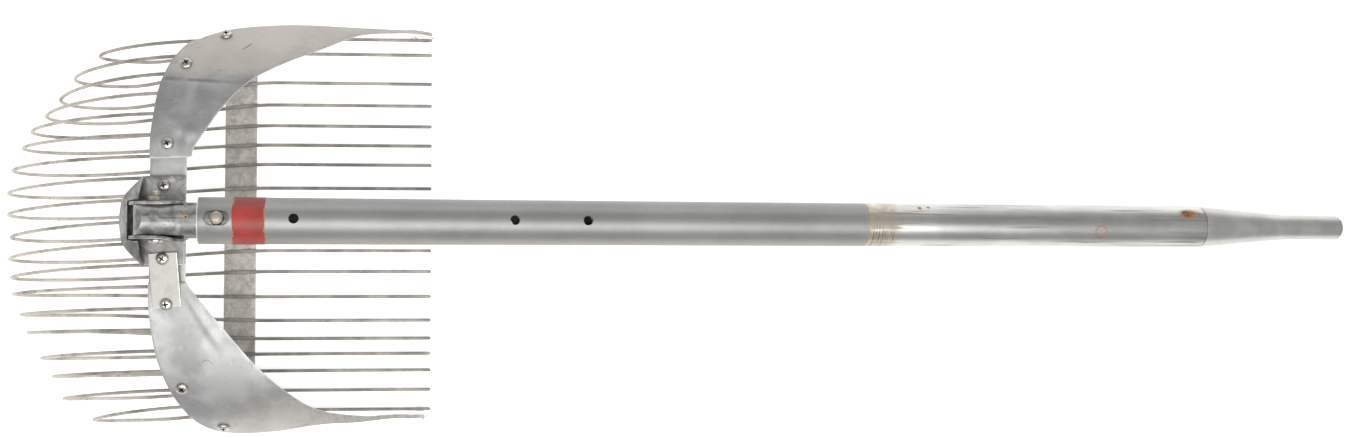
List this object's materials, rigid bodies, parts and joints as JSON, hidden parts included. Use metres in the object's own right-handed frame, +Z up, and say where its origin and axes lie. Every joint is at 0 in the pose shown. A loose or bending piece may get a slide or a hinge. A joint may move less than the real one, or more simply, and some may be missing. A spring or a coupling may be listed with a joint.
{
  "type": "scoop rake",
  "caption": "Scoop rake with a basket of bent wire tines, tapering sheet side plates, a hinged bracket and a tubular handle with a spring button.",
  "frame": {"origin": "centre of the cross strap's underside, on the ground that the head lies on", "axes": "+X from the basket towards the handle's free end, +Y to the left side, +Z up"},
  "size_m": [0.9586, 0.2809, 0.1292],
  "materials": {
    "tine_wire": "dull drawn wire with a warm grey film",
    "strap_steel": "mottled grey, slightly rough",
    "sheet_aluminium": "satin rolled sheet",
    "side_sheet": "satin rolled sheet with scuffs",
    "bracket_sheet": "handled sheet, smoky grey",
    "bright_steel": "bright hardware, worn",
    "dark_steel": "dull hardware",
    "plate_face": "blank plate, cream",
    "shank_aluminium": "machined, rubbed dark",
    "handle_coat": "grey coat, bare and scratched towards the end",
    "red_paint": "red band, rubbed at its edges",
    "bare_aluminium": "turned, bright",
    "rusty_steel": "rusted pin"
  },
  "bodies": {
    "head": {"tine_01": "tine_wire", "tine_02": "tine_wire", "tine_03": "tine_wire", "tine_04": "tine_wire", "tine_05": "tine_wire", "tine_06": "tine_wire", "tine_07": "tine_wire", "tine_08": "tine_wire", "tine_09": "tine_wire", "tine_10": "tine_wire", "tine_11": "tine_wire", "tine_12": "tine_wire", "tine_13": "tine_wire", "tine_14": "tine_wire", "tine_15": "tine_wire", "tine_16": "tine_wire", "tine_17": "tine_wire", "tine_18": "tine_wire", "tine_19": "tine_wire", "cross_strap": "strap_steel", "top_band": "sheet_aluminium", "side_plate_left": "side_sheet", "side_plate_right": "side_sheet", "hinge_bracket": "bracket_sheet", "rear_shroud": "bracket_sheet", "hinge_bolt": "bright_steel", "hinge_nut": "dark_steel", "name_plate": "plate_face", "screw_bracket_left": "bright_steel", "nut_bracket_left": "dark_steel", "screw_bracket_right": "bright_steel", "nut_bracket_right": "dark_steel", "screw_plate_left_inner": "bright_steel", "nut_plate_left_inner": "dark_steel", "screw_plate_right_inner": "bright_steel", "nut_plate_right_inner": "dark_steel", "screw_plate_left_middle": "bright_steel", "nut_plate_left_middle": "dark_steel", "screw_plate_right_middle": "bright_steel", "nut_plate_right_middle": "dark_steel", "screw_plate_left_outer": "bright_steel", "nut_plate_left_outer": "dark_steel", "screw_plate_right_outer": "bright_steel", "nut_plate_right_outer": "dark_steel"},
    "handle": {"hinge_shank": "shank_aluminium", "button_spring": "dark_steel", "handle_tube": "handle_coat", "red_band": "red_paint", "end_fitting": "bare_aluminium", "end_pin": "rusty_steel"},
    "button": {"release_button": "bright_steel"}
  },
  "joints": [
    {"name": "handle_lift", "type": "hinge", "parent": "head", "child": "handle", "pos_m": [-0.029, 0, 0.117], "axis": [0, -1, 0], "range_deg": [0, 130]},
    {"name": "button_press", "type": "slide", "parent": "handle", "child": "button", "axis": [-0.128, -0.0872, -0.9879], "range_m": [0, 0.005], "stiffness_N_per_m": 400, "springref_m": -0.004, "deforming": ["button_spring"]}
  ]
}
